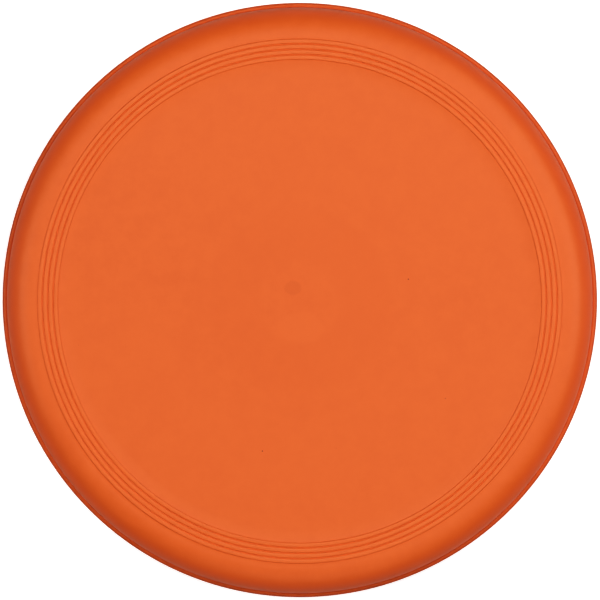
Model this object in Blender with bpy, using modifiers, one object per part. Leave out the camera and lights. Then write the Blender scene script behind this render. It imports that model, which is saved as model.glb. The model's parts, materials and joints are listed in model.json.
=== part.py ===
"""Flying disc, 230 mm across: one injection-moulded plastic shell lying open side down.

The shell is a solid of revolution about +Z, in metres. It stands on the flat foot of its rim,
with the origin on the table at the middle of the disc. Going outwards, its top has a flat plate,
a group of raised flight ribs, a rounded shoulder and a wall that ends in a half-round bead.
Underneath, the plate and the wall leave one open hollow with a small gate stub at its middle.
"""

import math

import bpy

COLLECTION_NAME = "flying_disc"
DISC_NAME = "disc"

# Driving dimensions
OUTER_DIAMETER = 0.230          # over the bead
OVERALL_HEIGHT = 0.022          # table to the crest of the ribs
PLATE_THICKNESS = 0.0015
WALL_THICKNESS = 0.0023         # at the foot of the rim
BEAD_RADIUS = 0.0011            # half-round bead around the foot
BEAD_OVERHANG = 0.0018          # how far the bead stands out from the wall
WALL_DRAFT = 0.0008             # the wall leans in by this much from foot to shoulder
SHOULDER_WIDTH = 0.0111         # from the flat crown out to the wall
SHOULDER_DROP = 0.0105          # from the crown down to the wall
INNER_SHOULDER_RADIUS = 0.0085
FOOT_EDGE_RADIUS = 0.0005       # inner edge of the foot

# Flight ribs: concentric rings near the edge of the plate
RIB_COUNT = 4
RIB_MIDDLE_RADIUS = 0.0961      # middle of the group
RIB_PITCH = 0.00205
RIB_FOOT_WIDTH = 0.00195
RIB_CREST_WIDTH = 0.00125
RIB_HEIGHT = 0.0003

# Gate stub under the middle of the plate
GATE_RADIUS = 0.0025
GATE_HEIGHT = 0.0006
GATE_DRAFT = 0.0003

# Facets
TURN_STEPS = 96                 # a multiple of four keeps vertices on the X and Y axes
SHOULDER_STEPS = 9
BEAD_UPPER_STEPS = 3
BEAD_LOWER_STEPS = 3
INNER_SHOULDER_STEPS = 6
FOOT_EDGE_STEPS = 2
MERGE_DISTANCE = 0.00001
SHARP_EDGE_ANGLE = math.radians(35)

# Orange plastic, linear colour
DISC_COLOUR = (0.70, 0.168, 0.040, 1.0)
DISC_ROUGHNESS = 0.51


def arc(centre, radii, start_deg, end_deg, steps):
    """Points (r, z) along an elliptical arc, both ends included."""
    points = []
    for step in range(steps + 1):
        angle = math.radians(start_deg + (end_deg - start_deg) * step / steps)
        points.append((centre[0] + radii[0] * math.cos(angle),
                       centre[1] + radii[1] * math.sin(angle)))
    return points


def rib_points(middle_radius, base_z):
    """A low rib with sloping flanks standing on the plate, from its inner to its outer foot."""
    return [(middle_radius - RIB_FOOT_WIDTH / 2, base_z),
            (middle_radius - RIB_CREST_WIDTH / 2, base_z + RIB_HEIGHT),
            (middle_radius + RIB_CREST_WIDTH / 2, base_z + RIB_HEIGHT),
            (middle_radius + RIB_FOOT_WIDTH / 2, base_z)]


def top_profile():
    """From the axis outwards over the plate, the ribs and the shoulder, down to the bead."""
    plate_top = OVERALL_HEIGHT - RIB_HEIGHT
    outer_radius = OUTER_DIAMETER / 2
    wall_foot_radius = outer_radius - BEAD_OVERHANG
    wall_top_radius = wall_foot_radius - WALL_DRAFT

    points = [(0.0, plate_top)]
    first_rib = RIB_MIDDLE_RADIUS - RIB_PITCH * (RIB_COUNT - 1) / 2
    for rib in range(RIB_COUNT):
        points += rib_points(first_rib + rib * RIB_PITCH, plate_top)

    shoulder_centre = (wall_top_radius - SHOULDER_WIDTH, plate_top - SHOULDER_DROP)
    points += arc(shoulder_centre, (SHOULDER_WIDTH, SHOULDER_DROP), 90, 0, SHOULDER_STEPS)

    bead_centre = (outer_radius - BEAD_RADIUS, BEAD_RADIUS)
    bead_start = math.degrees(math.acos((wall_foot_radius - bead_centre[0]) / BEAD_RADIUS))
    bead_radii = (BEAD_RADIUS, BEAD_RADIUS)
    points += arc(bead_centre, bead_radii, bead_start, 0, BEAD_UPPER_STEPS)
    points += arc(bead_centre, bead_radii, 0, -90, BEAD_LOWER_STEPS)[1:]
    return points


def hollow_profile():
    """From the foot's inner edge up the inside of the rim and back to the axis."""
    plate_underside = OVERALL_HEIGHT - RIB_HEIGHT - PLATE_THICKNESS
    wall_foot_radius = OUTER_DIAMETER / 2 - BEAD_OVERHANG
    inner_foot_radius = wall_foot_radius - WALL_THICKNESS
    inner_top_radius = inner_foot_radius - WALL_DRAFT

    foot_centre = (inner_foot_radius + FOOT_EDGE_RADIUS, FOOT_EDGE_RADIUS)
    foot_radii = (FOOT_EDGE_RADIUS, FOOT_EDGE_RADIUS)
    points = arc(foot_centre, foot_radii, -90, -180, FOOT_EDGE_STEPS)

    shoulder_centre = (inner_top_radius - INNER_SHOULDER_RADIUS,
                       plate_underside - INNER_SHOULDER_RADIUS)
    shoulder_radii = (INNER_SHOULDER_RADIUS, INNER_SHOULDER_RADIUS)
    points += arc(shoulder_centre, shoulder_radii, 0, 90, INNER_SHOULDER_STEPS)

    points.append((GATE_RADIUS, plate_underside))
    points.append((GATE_RADIUS - GATE_DRAFT, plate_underside - GATE_HEIGHT))
    points.append((0.0, plate_underside - GATE_HEIGHT))
    return points


def plastic_material():
    """Satin coloured plastic."""
    material = bpy.data.materials.new("orange_plastic")
    material.use_nodes = True
    shader = material.node_tree.nodes["Principled BSDF"]
    shader.inputs["Base Color"].default_value = DISC_COLOUR
    shader.inputs["Roughness"].default_value = DISC_ROUGHNESS
    shader.inputs["Metallic"].default_value = 0.0
    return material


def turned_object(name, profile, collection):
    """An outline of (r, z) points turned about +Z by a Screw modifier."""
    mesh = bpy.data.meshes.new(name)
    vertices = [(radius, 0.0, height) for radius, height in profile]
    edges = [(index, index + 1) for index in range(len(vertices) - 1)]
    mesh.from_pydata(vertices, edges, [])
    turned = bpy.data.objects.new(name, mesh)
    collection.objects.link(turned)

    screw = turned.modifiers.new("turn", "SCREW")
    screw.axis = "Z"
    screw.angle = math.tau
    screw.steps = TURN_STEPS
    screw.render_steps = TURN_STEPS
    screw.use_merge_vertices = True
    screw.merge_threshold = MERGE_DISTANCE
    screw.use_smooth_shade = True
    return turned


def shade_round(turned):
    """Applies the turning, then shades smooth with sharp edges where the outline has a corner."""
    graph = bpy.context.evaluated_depsgraph_get()
    solid = bpy.data.meshes.new_from_object(turned.evaluated_get(graph))
    turned.modifiers.clear()
    turned.data = solid
    solid.shade_smooth()
    solid.set_sharp_from_angle(angle=SHARP_EDGE_ANGLE)


def main():
    for old in list(bpy.data.objects):
        bpy.data.objects.remove(old, do_unlink=True)
    collection = bpy.data.collections.new(COLLECTION_NAME)
    bpy.context.scene.collection.children.link(collection)

    disc = turned_object(DISC_NAME, top_profile() + hollow_profile(), collection)
    shade_round(disc)
    disc.data.materials.append(plastic_material())


main()
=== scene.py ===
"""Flying disc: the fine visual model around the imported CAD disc, with its floor, lights and camera.

Everything is in metres in the row frame: the disc lies open side down on the plane z = 0, turned
about +Z. Its overall box and the height of its flat plate are read from the frame.
"""

import json
import math

import bmesh
import bpy
import numpy as np
from mathutils import Matrix, Vector, noise


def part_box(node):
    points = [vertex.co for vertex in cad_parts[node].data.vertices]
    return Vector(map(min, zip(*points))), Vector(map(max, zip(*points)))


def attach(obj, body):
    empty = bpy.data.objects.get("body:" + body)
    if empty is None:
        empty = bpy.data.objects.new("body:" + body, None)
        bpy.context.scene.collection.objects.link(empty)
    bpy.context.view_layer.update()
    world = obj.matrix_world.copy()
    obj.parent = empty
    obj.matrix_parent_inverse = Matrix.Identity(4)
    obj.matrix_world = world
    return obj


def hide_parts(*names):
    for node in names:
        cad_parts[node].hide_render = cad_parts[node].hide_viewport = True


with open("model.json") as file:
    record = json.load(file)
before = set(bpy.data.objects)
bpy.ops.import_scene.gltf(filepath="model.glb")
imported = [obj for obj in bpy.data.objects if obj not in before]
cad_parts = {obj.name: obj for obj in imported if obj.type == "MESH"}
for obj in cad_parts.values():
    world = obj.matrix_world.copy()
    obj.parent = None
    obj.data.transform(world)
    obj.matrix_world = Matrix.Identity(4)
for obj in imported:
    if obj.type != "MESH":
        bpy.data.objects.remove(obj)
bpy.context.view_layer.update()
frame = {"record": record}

NODE = "disc"
LOW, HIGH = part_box(NODE)
MOUNTS = {mount["name"]: mount["pos_m"] for mount in frame["record"]["mounts"]}

# Overall places, from the frame
OUTER_RADIUS = (HIGH[0] - LOW[0]) / 2
FOOT_Z = LOW[2]
CREST_Z = HIGH[2]
PLATE_Z = MOUNTS["top_face"][2]
RIB_HEIGHT = CREST_Z - PLATE_Z

# Section of the disc
PLATE_THICKNESS = 0.0015
WALL_THICKNESS = 0.0023
BEAD_RADIUS = 0.0011
BEAD_OVERHANG = 0.0018
WALL_DRAFT = 0.0008
SHOULDER_WIDTH = 0.0111
SHOULDER_DROP = 0.0105
INNER_SHOULDER_RADIUS = 0.0085
FOOT_EDGE_RADIUS = 0.0005
NECK_RADIUS = 0.00015           # fillet between the wall and the bead
PARTING_WIDTH = 0.00016         # fine line where the mould halves meet, around the bead
PARTING_HEIGHT = 0.00005
PARTING_DEG = 5                 # the line takes this much of the bead's arc, each way

# Flight ribs
RIB_COUNT = 4
RIB_MIDDLE_RADIUS = 0.0961
RIB_PITCH = 0.00205
RIB_FOOT_WIDTH = 0.00195
RIB_CREST_WIDTH = 0.00125

# Gate and mould marks
SINK_RADIUS = 0.0110            # shallow sink over the gate, on top
SINK_DEPTH = 0.00010
GATE_RADIUS = 0.0025
GATE_HEIGHT = 0.0006
GATE_DRAFT = 0.0001
GATE_FACE_INSET = 0.0004        # from the stub's foot to the rim of its end face
GATE_SIDE_SHARE = 0.85          # of the stub's height, where its side ends
GATE_DIP_SHARE = 0.8            # of the stub's height, at its middle
PIN_COUNT = 8                   # ejector pin marks under the plate
PIN_CIRCLE_RADIUS = 0.0860
PIN_RADIUS = 0.0030
PIN_DEPTH = 0.00012

# Slow waves that a thin plate takes as it cools, fading out before the ribs
WAVE_SIZE = 0.045
WAVE_DEPTH = 0.00020
WAVE_START = 0.012
WAVE_END = 0.088

# Facets
TURN_STEPS = 512                # a multiple of four keeps points on the X and Y axes
PLATE_RING_GAP = 0.0050
WALL_RING_GAP = 0.002
INNER_WALL_RING_GAP = 0.003
SINK_STEPS = 8
RIB_FLANK_STEPS = 6
SHOULDER_STEPS = 24
NECK_STEPS = 4
BEAD_UPPER_STEPS = 10
BEAD_LOWER_STEPS = 7
FOOT_EDGE_STEPS = 4
INNER_SHOULDER_STEPS = 14
PIN_STEPS = 64
SHARP_EDGE_ANGLE = math.radians(40)

# Plastic, linear colour
ORANGE_DEEP = (0.683, 0.159, 0.037, 1.0)
ORANGE_LIGHT = (0.704, 0.1685, 0.0408, 1.0)
ORANGE_PALE = (0.720, 0.1775, 0.045, 1.0)
# The next colour is painted shade on the far side of the sink over the gate
ORANGE_SINK_SHADE = (0.640, 0.147, 0.034, 1.0)
ORANGE_RIM_SHADE = (0.695, 0.143, 0.035, 1.0)         # painted shade over the shoulder and the wall
ORANGE_EDGE_SHADE = (0.560, 0.105, 0.027, 1.0)        # painted shade along the widest line of the bead
ORANGE_CREST_HIGHLIGHT = (0.715, 0.180, 0.047, 1.0)       # painted highlight on top of the ribs
ORANGE_GROOVE_SHADE = (0.520, 0.100, 0.023, 1.0)      # painted shade at the bottom of the grooves between them
PLASTIC_ROUGHNESS = 0.51
PLASTIC_IOR = 1.5
CLOUD_SIZE = 0.070
MOTTLE_SIZE = 0.006
MOTTLE_SHARE = 0.80
MOTTLE_ROUGHNESS = 0.10
GRAIN_SIZE = 0.00035
GRAIN_DEPTH = 0.0000030
RIPPLE_SIZE = 0.0045
RIPPLE_DEPTH = 0.0000060

# Bands of painted shade, by distance from the axis
RIM_SHADE_START = 0.1060
RIM_SHADE_END = 0.1110
RIM_SHADE_STOP_START = 0.1132
RIM_SHADE_STOP_END = 0.1137
EDGE_SHADE_START = 0.1142
EDGE_SHADE_END = 0.1148
GROOVE_SHADE_SHARE = 0.12

# Dots in the plastic, scuffs on the foot and turning marks underneath
SPECK_COLOUR = (0.28, 0.06, 0.02, 1.0)
SPECK_GAP = 0.0070
SPECK_RADIUS = 0.00030
SPECK_SHARE = 0.08
SCUFF_COLOUR = (0.76, 0.22, 0.09, 1.0)
SCUFF_TOP = 0.0012
SCUFF_PATCH_SIZE = 0.009
SCUFF_LINE_SIZE = 0.0006
SCUFF_ROUGHNESS = 0.15
TURNING_MARK_GAP = 0.0005
TURNING_MARK_DEPTH = 0.0000040
TURNING_MARK_FADE_START = 0.0990
TURNING_MARK_FADE_END = 0.1010

# Flow marks around the gate: a darker halo; and on top, painted light and painted shade on the two
# sides of the sink over the gate
HALO_START = 0.0155
HALO_END = 0.0360
HALO_SOFTNESS = 0.005
RING_MARK_RADIUS = 0.0425
RING_MARK_WIDTH = 0.003
RING_MARK_SHARE = 0.4
FLOW_WOBBLE_SIZE = 0.020
FLOW_WOBBLE = 0.006
FLOW_SHARE = 0.35
SINK_LIGHT_PLACE = (0.0005, -0.0100)
SINK_LIGHT_SIZE = (0.0085, 0.0060)
SINK_SHADE_PLACE = (-0.0026, 0.0052)
SINK_SHADE_SIZE = (0.0034, 0.0028)
SPOT_SHARE = 0.6

# Studio: name, azimuth and elevation in degrees, radius in metres, power in watts
LIGHT_DISTANCE = 1.5
SOFTBOXES = (
    ("softbox_right", 0, 40, 0.30, 6.5),
    ("softbox_left", 180, 40, 0.30, 6.5),
    ("softbox_back_right", 45, 40, 0.30, 4.0),
    ("softbox_back_right_high", 45, 65, 0.30, 4.0),
    ("softbox_back_left", 135, 65, 0.30, 5.0),
    ("softbox_front", 270, 40, 0.30, 3.0),
    ("softbox_front_right", 315, 65, 0.30, 2.5),
    ("softbox_overhead", 0, 90, 0.35, 2.5),
    ("softbox_below", 225, -88, 0.45, 14.0),    # through the floor, which casts no shadow
)
BACKDROP_STRENGTH = 1.0
FLOOR_COLOUR = (0.75, 0.75, 0.75, 1.0)
FLOOR_GLOW = 0.5                # seen by the camera only
FLOOR_ROUGHNESS = 0.8
FLOOR_SIZE = 6.0
FLOOR_GAP = 0.00005             # below the foot

# Camera, in metres and degrees
CAMERA_DISTANCE = 1.40
CAMERA_LEAN = 1.1
CAMERA_LEAN_TOWARDS = 85        # from +X round to +Y
CAMERA_AIM = (0.00009, 0.00020)
CAMERA_SENSOR = 36.0            # millimetres
FRAME_MARGIN = 1.0094           # half the frame's width, as a share of the disc's radius

# Tone curve of the picture: its two ends come first, then the points between them
TONE_CONTRAST = 1.7
TONE_KNEE = 1.2
TONE_STEPS = (0.0, 1.0, 0.01, 0.03, 0.07, 0.12, 0.2, 0.35, 0.55, 0.75)


def arc(centre, radii, start_deg, end_deg, steps):
    """Points (r, z) along an elliptical arc, both ends included."""
    points = []
    for step in range(steps + 1):
        angle = math.radians(start_deg + (end_deg - start_deg) * step / steps)
        points.append((centre[0] + radii[0] * math.cos(angle),
                       centre[1] + radii[1] * math.sin(angle)))
    return points


def run(start, end, gap):
    """Points on a straight line at steps of about gap, without its first point."""
    steps = max(1, round(math.dist(start, end) / gap))
    return [(start[0] + (end[0] - start[0]) * step / steps,
             start[1] + (end[1] - start[1]) * step / steps) for step in range(1, steps + 1)]


def rib_points(middle):
    """One flight rib with filleted feet and rounded crests, from its inner to its outer foot."""
    half_foot = RIB_FOOT_WIDTH / 2
    half_crest = RIB_CREST_WIDTH / 2
    rising = []
    for step in range(RIB_FLANK_STEPS + 1):
        share = step / RIB_FLANK_STEPS
        height = RIB_HEIGHT * (0.5 - 0.5 * math.cos(math.pi * share))
        rising.append((half_foot + (half_crest - half_foot) * share, PLATE_Z + height))
    inner = [(middle - offset, height) for offset, height in rising]
    outer = [(middle + offset, height) for offset, height in reversed(rising)]
    return inner + [(middle, CREST_Z)] + outer


def sink_depth(radius):
    """Depth of the sink mark over the gate at this distance from the axis."""
    if radius >= SINK_RADIUS:
        return 0.0
    return SINK_DEPTH * (0.5 + 0.5 * math.cos(math.pi * radius / SINK_RADIUS))


def top_profile():
    """From the axis outwards over the plate, ribs, shoulder, wall and bead to the foot."""
    rib_radii = [RIB_MIDDLE_RADIUS + RIB_PITCH * (rib - (RIB_COUNT - 1) / 2)
                 for rib in range(RIB_COUNT)]
    sink_rings = [SINK_RADIUS * step / SINK_STEPS for step in range(SINK_STEPS + 1)]
    points = [(radius, PLATE_Z - sink_depth(radius)) for radius in sink_rings]
    first_foot = (rib_radii[0] - RIB_FOOT_WIDTH / 2, PLATE_Z)
    points += run(points[-1], first_foot, PLATE_RING_GAP)[:-1]
    for middle in rib_radii:
        points += rib_points(middle)

    wall_foot = OUTER_RADIUS - BEAD_OVERHANG
    wall_top = wall_foot - WALL_DRAFT
    shoulder_centre = (wall_top - SHOULDER_WIDTH, PLATE_Z - SHOULDER_DROP)
    points += arc(shoulder_centre, (SHOULDER_WIDTH, SHOULDER_DROP), 90, 0, SHOULDER_STEPS)

    bead_centre = (OUTER_RADIUS - PARTING_HEIGHT - BEAD_RADIUS, FOOT_Z + BEAD_RADIUS)
    bead_radii = (BEAD_RADIUS, BEAD_RADIUS)
    neck_x = wall_foot + NECK_RADIUS
    reach = (neck_x - bead_centre[0]) / (BEAD_RADIUS + NECK_RADIUS)
    meet_deg = math.degrees(math.acos(reach))
    neck_z = bead_centre[1] + (BEAD_RADIUS + NECK_RADIUS) * math.sin(math.radians(meet_deg))
    points += run(points[-1], (wall_foot, neck_z), WALL_RING_GAP)
    neck_radii = (NECK_RADIUS, NECK_RADIUS)
    points += arc((neck_x, neck_z), neck_radii, 180, 180 + meet_deg, NECK_STEPS)[1:]
    points += arc(bead_centre, bead_radii, meet_deg, PARTING_DEG, BEAD_UPPER_STEPS)[1:]

    points.append((OUTER_RADIUS - PARTING_HEIGHT, bead_centre[1] + PARTING_WIDTH / 2))
    points.append((OUTER_RADIUS, bead_centre[1]))
    points.append((OUTER_RADIUS - PARTING_HEIGHT, bead_centre[1] - PARTING_WIDTH / 2))
    points += arc(bead_centre, bead_radii, -PARTING_DEG, -90, BEAD_LOWER_STEPS)
    return points


def hollow_profile():
    """From the foot's inner edge up the inside of the rim and back to the axis."""
    plate_underside = PLATE_Z - PLATE_THICKNESS
    inner_foot = OUTER_RADIUS - BEAD_OVERHANG - WALL_THICKNESS
    inner_top = inner_foot - WALL_DRAFT
    foot_centre = (inner_foot + FOOT_EDGE_RADIUS, FOOT_Z + FOOT_EDGE_RADIUS)
    foot_radii = (FOOT_EDGE_RADIUS, FOOT_EDGE_RADIUS)
    points = arc(foot_centre, foot_radii, -90, -180, FOOT_EDGE_STEPS)

    shoulder_centre = (inner_top - INNER_SHOULDER_RADIUS, plate_underside - INNER_SHOULDER_RADIUS)
    points += run(points[-1], (inner_top, shoulder_centre[1]), INNER_WALL_RING_GAP)
    radii = (INNER_SHOULDER_RADIUS, INNER_SHOULDER_RADIUS)
    points += arc(shoulder_centre, radii, 0, 90, INNER_SHOULDER_STEPS)[1:]

    points += run(points[-1], (GATE_RADIUS, plate_underside), PLATE_RING_GAP)[:-1]
    points.append((GATE_RADIUS, plate_underside))
    side_end = plate_underside - GATE_HEIGHT * GATE_SIDE_SHARE
    points.append((GATE_RADIUS - GATE_DRAFT, side_end))
    points.append((GATE_RADIUS - GATE_FACE_INSET, plate_underside - GATE_HEIGHT))
    points.append((GATE_RADIUS / 2, side_end))
    points.append((0.0, plate_underside - GATE_HEIGHT * GATE_DIP_SHARE))
    return points


def turned_mesh(name, profile):
    """A closed mesh from an outline of (r, z) points that starts and ends on the axis."""
    rings = profile[1:-1]
    angles = np.arange(TURN_STEPS) * (math.tau / TURN_STEPS)
    vertices = [(0.0, 0.0, profile[0][1])]
    for radius, height in rings:
        for angle in angles:
            vertices.append((radius * math.cos(angle), radius * math.sin(angle), height))
    vertices.append((0.0, 0.0, profile[-1][1]))
    last = len(vertices) - 1

    faces = []
    for step in range(TURN_STEPS):
        following = (step + 1) % TURN_STEPS
        faces.append((0, 1 + step, 1 + following))
        for ring in range(len(rings) - 1):
            upper = 1 + ring * TURN_STEPS
            lower = upper + TURN_STEPS
            faces.append((upper + step, lower + step, lower + following, upper + following))
        end = 1 + (len(rings) - 1) * TURN_STEPS
        faces.append((end + step, last, end + following))
    mesh = bpy.data.meshes.new(name)
    mesh.from_pydata(vertices, [], faces)
    mesh.validate()
    return mesh


def step_up(value, low, high):
    """A smooth step from 0 at low to 1 at high."""
    share = min(max((value - low) / (high - low), 0.0), 1.0)
    return share * share * (3.0 - 2.0 * share)


def add_waves(mesh):
    """Lower the plate a little in slow waves, by the same amount on top and underneath."""
    for vertex in mesh.vertices:
        radius = math.hypot(vertex.co.x, vertex.co.y)
        if radius < WAVE_END:
            place = Vector((vertex.co.x, vertex.co.y, 0.0)) / WAVE_SIZE
            wave = min(max(0.5 + 0.5 * noise.noise(place), 0.0), 1.0)
            rise = step_up(radius, 0.0, WAVE_START)
            fall = 1.0 - step_up(radius, WAVE_START, WAVE_END)
            vertex.co.z -= WAVE_DEPTH * wave * (rise * fall)


def pin_cutter():
    """Eight short cylinders that reach up into the plate's underside."""
    cutter_mesh = bpy.data.meshes.new("pin_cutter")
    pins = bmesh.new()
    for pin in range(PIN_COUNT):
        turn = math.tau * (pin + 0.5) / PIN_COUNT
        place = Matrix.Translation((PIN_CIRCLE_RADIUS * math.cos(turn),
                                    PIN_CIRCLE_RADIUS * math.sin(turn),
                                    PLATE_Z - PLATE_THICKNESS))
        bmesh.ops.create_cone(pins, cap_ends=True, segments=PIN_STEPS, radius1=PIN_RADIUS,
                              radius2=PIN_RADIUS, depth=2 * PIN_DEPTH, matrix=place)
    pins.to_mesh(cutter_mesh)
    pins.free()
    cutter = bpy.data.objects.new("pin_cutter", cutter_mesh)
    bpy.context.scene.collection.objects.link(cutter)
    return cutter


def make_disc():
    """The disc as one closed mesh: turned, waved, and marked by the ejector pins underneath."""
    mesh = turned_mesh("disc_shell", top_profile() + hollow_profile())
    add_waves(mesh)
    disc = bpy.data.objects.new("disc_shell", mesh)
    bpy.context.scene.collection.objects.link(disc)
    cutter = pin_cutter()
    cut = disc.modifiers.new("pin_marks", "BOOLEAN")
    cut.operation = "DIFFERENCE"
    cut.object = cutter
    disc.data = bpy.data.meshes.new_from_object(
        disc.evaluated_get(bpy.context.evaluated_depsgraph_get()))
    disc.modifiers.clear()
    bpy.data.objects.remove(cutter)
    disc.data.shade_smooth()
    disc.data.set_sharp_from_angle(angle=SHARP_EDGE_ANGLE)
    return disc


class Shading:
    """Short ways to add and link nodes in one material."""

    def __init__(self, name):
        self.material = bpy.data.materials.new(name)
        self.material.use_nodes = True
        self.tree = self.material.node_tree
        self.shader = self.tree.nodes["Principled BSDF"]
        coordinates = self.tree.nodes.new("ShaderNodeTexCoord")
        self.place = coordinates.outputs["Object"]

    def link(self, source, target):
        self.tree.links.new(source, target)

    def put(self, value, socket):
        """A linked output or a plain number goes into the socket."""
        if hasattr(value, "is_output"):
            self.link(value, socket)
        else:
            socket.default_value = value

    def noise(self, size, detail=2.0, roughness=0.5, offset=0.0):
        """Noise from 0 to 1 with features of about this size in metres."""
        node = self.tree.nodes.new("ShaderNodeTexNoise")
        node.noise_dimensions = "4D"
        node.inputs["W"].default_value = offset
        node.inputs["Scale"].default_value = 1.0 / size
        node.inputs["Detail"].default_value = detail
        node.inputs["Roughness"].default_value = roughness
        self.link(self.place, node.inputs["Vector"])
        return node.outputs["Fac"]

    def part(self, vector, axis):
        """One component of a vector."""
        node = self.tree.nodes.new("ShaderNodeSeparateXYZ")
        self.link(vector, node.inputs["Vector"])
        return node.outputs[axis]

    def length(self, vector):
        node = self.tree.nodes.new("ShaderNodeVectorMath")
        node.operation = "LENGTH"
        self.link(vector, node.inputs[0])
        return node.outputs["Value"]

    def radius(self):
        """Distance from the disc's axis."""
        node = self.tree.nodes.new("ShaderNodeVectorMath")
        node.operation = "MULTIPLY"
        node.inputs[1].default_value = (1.0, 1.0, 0.0)
        self.link(self.place, node.inputs[0])
        return self.length(node.outputs["Vector"])

    def math(self, operation, first, second=0.0):
        node = self.tree.nodes.new("ShaderNodeMath")
        node.operation = operation
        self.put(first, node.inputs[0])
        self.put(second, node.inputs[1])
        return node.outputs[0]

    def ramp(self, value, low, high, out_low=0.0, out_high=1.0):
        """A smooth step of the value between low and high."""
        node = self.tree.nodes.new("ShaderNodeMapRange")
        node.interpolation_type = "SMOOTHSTEP"
        self.link(value, node.inputs["Value"])
        node.inputs["From Min"].default_value = low
        node.inputs["From Max"].default_value = high
        node.inputs["To Min"].default_value = out_low
        node.inputs["To Max"].default_value = out_high
        return node.outputs["Result"]

    def mix(self, share, first, second):
        """A colour between two colours."""
        node = self.tree.nodes.new("ShaderNodeMix")
        node.data_type = "RGBA"
        self.put(share, node.inputs["Factor"])
        self.put(first, node.inputs["A"])
        self.put(second, node.inputs["B"])
        return node.outputs["Result"]

    def bump(self, height, depth, before=None):
        """Surface relief of this depth in metres, on top of an earlier bump."""
        node = self.tree.nodes.new("ShaderNodeBump")
        node.inputs["Distance"].default_value = depth
        self.link(height, node.inputs["Height"])
        if before is not None:
            self.link(before, node.inputs["Normal"])
        return node.outputs["Normal"]


def spot_mask(shading, place, size):
    """1 inside an ellipse on the plate with a soft, slightly uneven edge, seen along Z."""
    mapping = shading.tree.nodes.new("ShaderNodeMapping")
    mapping.vector_type = "TEXTURE"
    mapping.inputs["Location"].default_value = (place[0], place[1], PLATE_Z)
    mapping.inputs["Scale"].default_value = (size[0], size[1], PLATE_THICKNESS / 2)
    shading.link(shading.place, mapping.inputs["Vector"])
    distance = shading.length(mapping.outputs["Vector"])
    uneven = shading.math("MULTIPLY", shading.noise(0.003, offset=7.9), 0.5)
    return shading.ramp(shading.math("ADD", distance, uneven), 1.05, 1.4, 1.0, 0.0)


def flow_halo(shading, radius):
    """A faint deeper zone and ring around the gate, with wavering edges."""
    wobble = shading.math("MULTIPLY", shading.noise(FLOW_WOBBLE_SIZE, offset=2.2), FLOW_WOBBLE)
    reach = shading.math("ADD", radius, wobble)
    rise = shading.ramp(reach, HALO_START, HALO_START + HALO_SOFTNESS)
    fall = shading.ramp(reach, HALO_END, HALO_END + HALO_SOFTNESS, 1.0, 0.0)
    zone = shading.math("MULTIPLY", rise, fall)
    ring_reach = RING_MARK_RADIUS + FLOW_WOBBLE / 2
    off_ring = shading.math("ABSOLUTE", shading.math("SUBTRACT", reach, ring_reach))
    ring = shading.ramp(off_ring, 0.0, RING_MARK_WIDTH, RING_MARK_SHARE, 0.0)
    return shading.math("MULTIPLY", shading.math("ADD", zone, ring), FLOW_SHARE)


def turning_marks(shading, height, radius):
    """Fine concentric lines under the plate, as a lathe leaves in a mould's core."""
    rings = shading.tree.nodes.new("ShaderNodeTexNoise")
    rings.noise_dimensions = "1D"
    rings.inputs["Scale"].default_value = 1.0 / TURNING_MARK_GAP
    rings.inputs["Detail"].default_value = 2.0
    shading.link(radius, rings.inputs["W"])
    underside = PLATE_Z - PLATE_THICKNESS
    below = shading.ramp(height, underside + 0.0002, underside + 0.0006, 1.0, 0.0)
    inside = shading.ramp(radius, TURNING_MARK_FADE_START, TURNING_MARK_FADE_END, 1.0, 0.0)
    return shading.math("MULTIPLY", shading.math("MULTIPLY", below, inside), rings.outputs["Fac"])


def scuff_mask(shading, height):
    """Fine pale scuffs where the disc slides on the ground: on the foot and low on the bead."""
    low = shading.ramp(height, 0.0, SCUFF_TOP, 1.0, 0.0)
    patches = shading.ramp(shading.noise(SCUFF_PATCH_SIZE, detail=3.0, offset=4.4), 0.45, 0.7)
    fine = shading.noise(SCUFF_LINE_SIZE, detail=3.0, roughness=0.7, offset=8.8)
    lines = shading.ramp(fine, 0.5, 0.75)
    return shading.math("MULTIPLY", shading.math("MULTIPLY", low, patches), lines)


def groove_shade_mask(shading, height, radius):
    """Where shade is painted: 1 at the bottom of the grooves between the ribs and along the feet of
    the outer two.
    """
    off_middle = shading.math("ABSOLUTE", shading.math("SUBTRACT", radius, RIB_MIDDLE_RADIUS))
    half_group = RIB_PITCH * (RIB_COUNT - 1) / 2 + RIB_FOOT_WIDTH / 2
    within = shading.ramp(off_middle, half_group, half_group + 0.0002, 1.0, 0.0)
    low = shading.ramp(height, PLATE_Z, PLATE_Z + RIB_HEIGHT * 0.6, 1.0, 0.0)
    return shading.math("MULTIPLY", within, low)


def speck_mask(shading):
    """1 on a few tiny dots scattered over the plastic."""
    voronoi = shading.tree.nodes.new("ShaderNodeTexVoronoi")
    voronoi.inputs["Scale"].default_value = 1.0 / SPECK_GAP
    shading.link(shading.place, voronoi.inputs["Vector"])
    near = shading.ramp(voronoi.outputs["Distance"], SPECK_RADIUS / SPECK_GAP * 0.6,
                        SPECK_RADIUS / SPECK_GAP, 1.0, 0.0)
    parts = shading.tree.nodes.new("ShaderNodeSeparateColor")
    shading.link(voronoi.outputs["Color"], parts.inputs["Color"])
    chosen = shading.math("GREATER_THAN", parts.outputs["Red"], 1.0 - SPECK_SHARE)
    return shading.math("MULTIPLY", near, chosen)


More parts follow.
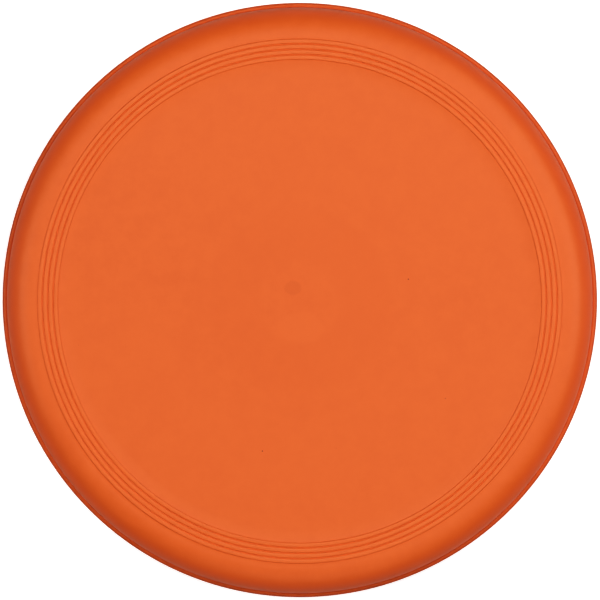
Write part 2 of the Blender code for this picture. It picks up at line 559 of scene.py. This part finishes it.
def plastic_material():
    """Satin plastic: clouded orange with painted shade, light and highlights, flow marks, dots and a
    fine grain.
    """
    shading = Shading("orange_plastic")
    height = shading.part(shading.place, "Z")
    radius = shading.radius()
    clouds = shading.noise(CLOUD_SIZE, detail=3.0, offset=1.7)
    mottle = shading.noise(MOTTLE_SIZE, detail=4.0, roughness=0.6, offset=5.1)
    body = shading.mix(shading.ramp(clouds, 0.3, 0.7), ORANGE_DEEP, ORANGE_LIGHT)
    mottled = shading.mix(shading.ramp(mottle, 0.25, 0.75, 0.0, MOTTLE_SHARE), body, ORANGE_PALE)
    # Painted shade: a redder, darker band over the shoulder and the wall, which stops at the bead
    rim_shade = shading.math("MINIMUM", shading.ramp(radius, RIM_SHADE_START, RIM_SHADE_END),
                        shading.ramp(radius, RIM_SHADE_STOP_START, RIM_SHADE_STOP_END, 1.0, 0.0))
    rim_shaded = shading.mix(rim_shade, mottled, ORANGE_RIM_SHADE)
    # Painted shade: a dark line along the widest line of the bead
    edge_shade = shading.ramp(radius, EDGE_SHADE_START, EDGE_SHADE_END)
    edge_shaded = shading.mix(edge_shade, rim_shaded, ORANGE_EDGE_SHADE)
    # Painted highlight: paler on top of the ribs
    crest_highlight = shading.ramp(height, PLATE_Z + RIB_HEIGHT * 0.3, PLATE_Z + RIB_HEIGHT * 0.8)
    crest_highlighted = shading.mix(crest_highlight, edge_shaded, ORANGE_CREST_HIGHLIGHT)
    # Painted shade at the bottom of the grooves between the ribs
    groove_shade = shading.math("MULTIPLY", groove_shade_mask(shading, height, radius), GROOVE_SHADE_SHARE)
    groove_shaded = shading.mix(groove_shade, crest_highlighted, ORANGE_GROOVE_SHADE)
    flowed = shading.mix(flow_halo(shading, radius), groove_shaded, ORANGE_DEEP)
    # Painted light on the side of the sink over the gate that faces the light
    sink_light = shading.math("MULTIPLY", spot_mask(shading, SINK_LIGHT_PLACE, SINK_LIGHT_SIZE), SPOT_SHARE)
    sink_lit = shading.mix(sink_light, flowed, ORANGE_PALE)
    # Painted shade on the other side of the sink over the gate
    sink_shade_spot = spot_mask(shading, SINK_SHADE_PLACE, SINK_SHADE_SIZE)
    mark = shading.math("MULTIPLY", sink_shade_spot, SPOT_SHARE)
    sink_shaded = shading.mix(mark, sink_lit, ORANGE_SINK_SHADE)
    dotted = shading.mix(speck_mask(shading), sink_shaded, SPECK_COLOUR)
    scuffs = scuff_mask(shading, height)
    scuffed = shading.mix(scuffs, dotted, SCUFF_COLOUR)
    shading.link(scuffed, shading.shader.inputs["Base Color"])

    sheen = shading.math("MULTIPLY", mottle, MOTTLE_ROUGHNESS)
    worn = shading.math("MULTIPLY", scuffs, SCUFF_ROUGHNESS)
    smoothest = PLASTIC_ROUGHNESS - MOTTLE_ROUGHNESS / 2
    uneven = shading.math("ADD", shading.math("ADD", sheen, worn), smoothest)
    shading.link(uneven, shading.shader.inputs["Roughness"])
    shading.shader.inputs["IOR"].default_value = PLASTIC_IOR

    grain = shading.bump(shading.noise(GRAIN_SIZE, offset=9.3), GRAIN_DEPTH)
    ripple = shading.bump(shading.noise(RIPPLE_SIZE, offset=3.3), RIPPLE_DEPTH, grain)
    turned = shading.bump(turning_marks(shading, height, radius), TURNING_MARK_DEPTH, ripple)
    shading.link(turned, shading.shader.inputs["Normal"])
    return shading.material


def make_floor():
    """A pale matt table top, seen only from above."""
    bpy.ops.mesh.primitive_plane_add(size=FLOOR_SIZE, location=(0, 0, FOOT_Z - FLOOR_GAP))
    floor = bpy.context.object
    floor.name = "floor"
    material = bpy.data.materials.new("white_table")
    material.use_nodes = True
    tree = material.node_tree
    shader = tree.nodes["Principled BSDF"]
    shader.inputs["Base Color"].default_value = FLOOR_COLOUR
    shader.inputs["Roughness"].default_value = FLOOR_ROUGHNESS

    # A glow for the camera alone whitens the table
    path = tree.nodes.new("ShaderNodeLightPath")
    glow = tree.nodes.new("ShaderNodeMath")
    glow.operation = "MULTIPLY"
    glow.inputs[1].default_value = FLOOR_GLOW
    tree.links.new(path.outputs["Is Camera Ray"], glow.inputs[0])
    shader.inputs["Emission Color"].default_value = (1.0, 1.0, 1.0, 1.0)
    tree.links.new(glow.outputs["Value"], shader.inputs["Emission Strength"])

    # Clear from below, so that the underside of the disc can be seen
    side = tree.nodes.new("ShaderNodeNewGeometry")
    clear = tree.nodes.new("ShaderNodeBsdfTransparent")
    mix = tree.nodes.new("ShaderNodeMixShader")
    output = tree.nodes["Material Output"]
    tree.links.new(side.outputs["Backfacing"], mix.inputs["Fac"])
    tree.links.new(shader.outputs["BSDF"], mix.inputs[1])
    tree.links.new(clear.outputs["BSDF"], mix.inputs[2])
    tree.links.new(mix.outputs["Shader"], output.inputs["Surface"])
    floor.data.materials.append(material)
    floor.visible_shadow = False


def make_camera():
    """Almost straight overhead, leaning a little towards +Y, with +Y up in the picture."""
    lean = math.radians(CAMERA_LEAN)
    lean_towards = math.radians(CAMERA_LEAN_TOWARDS)
    aim = Vector((CAMERA_AIM[0], CAMERA_AIM[1], BEAD_RADIUS))
    back = Vector((math.sin(lean) * math.cos(lean_towards),
                   math.sin(lean) * math.sin(lean_towards), math.cos(lean)))
    right = Vector((0.0, 1.0, 0.0)).cross(back).normalized()
    up = back.cross(right)
    data = bpy.data.cameras.new("camera")
    camera = bpy.data.objects.new("camera", data)
    bpy.context.scene.collection.objects.link(camera)
    camera.matrix_world = (Matrix.Translation(aim + back * CAMERA_DISTANCE)
                           @ Matrix((right, up, back)).transposed().to_4x4())
    data.sensor_width = CAMERA_SENSOR
    half_frame = OUTER_RADIUS * FRAME_MARGIN
    data.lens = data.sensor_width / 2 * CAMERA_DISTANCE / half_frame
    bpy.context.scene.camera = camera


def make_softbox(name, azimuth, elevation, radius, power):
    """A round softbox at LIGHT_DISTANCE, facing the middle of the disc."""
    data = bpy.data.lights.new(name, "AREA")
    data.shape = "DISK"
    data.size = 2 * radius
    data.energy = power
    lamp = bpy.data.objects.new(name, data)
    bpy.context.scene.collection.objects.link(lamp)
    turn = math.radians(azimuth)
    rise = math.radians(elevation)
    place = LIGHT_DISTANCE * Vector((math.cos(rise) * math.cos(turn),
                                     math.cos(rise) * math.sin(turn), math.sin(rise)))
    lamp.location = place
    lamp.rotation_euler = (-place).to_track_quat("-Z", "Y").to_euler()
    lamp.visible_camera = False


def make_lights():
    """The softboxes, and a white backdrop that throws no light."""
    for softbox in SOFTBOXES:
        make_softbox(*softbox)
    world = bpy.data.worlds.new("studio")
    bpy.context.scene.world = world
    world.use_nodes = True
    background = world.node_tree.nodes["Background"]
    background.inputs["Color"].default_value = (1.0, 1.0, 1.0, 1.0)
    background.inputs["Strength"].default_value = BACKDROP_STRENGTH
    world.cycles_visibility.diffuse = False
    world.cycles_visibility.glossy = False


def set_tone():
    """Plain sRGB display with a smooth contrast curve."""
    view = bpy.context.scene.view_settings
    view.view_transform = "Standard"
    view.use_curve_mapping = True
    mapping = view.curve_mapping
    curve = mapping.curves[3]
    knee = TONE_KNEE ** TONE_CONTRAST
    for step, light in enumerate(TONE_STEPS):
        raised = light ** TONE_CONTRAST
        shown = (1 + knee) * raised / (raised + knee)
        if step < 2:
            curve.points[0 if step == 0 else -1].location = (light, shown)
        else:
            curve.points.new(light, shown)
    mapping.update()


disc = make_disc()
disc.data.materials.append(plastic_material())
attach(disc, "root")
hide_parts(NODE)
make_floor()
make_camera()
make_lights()
set_tone()
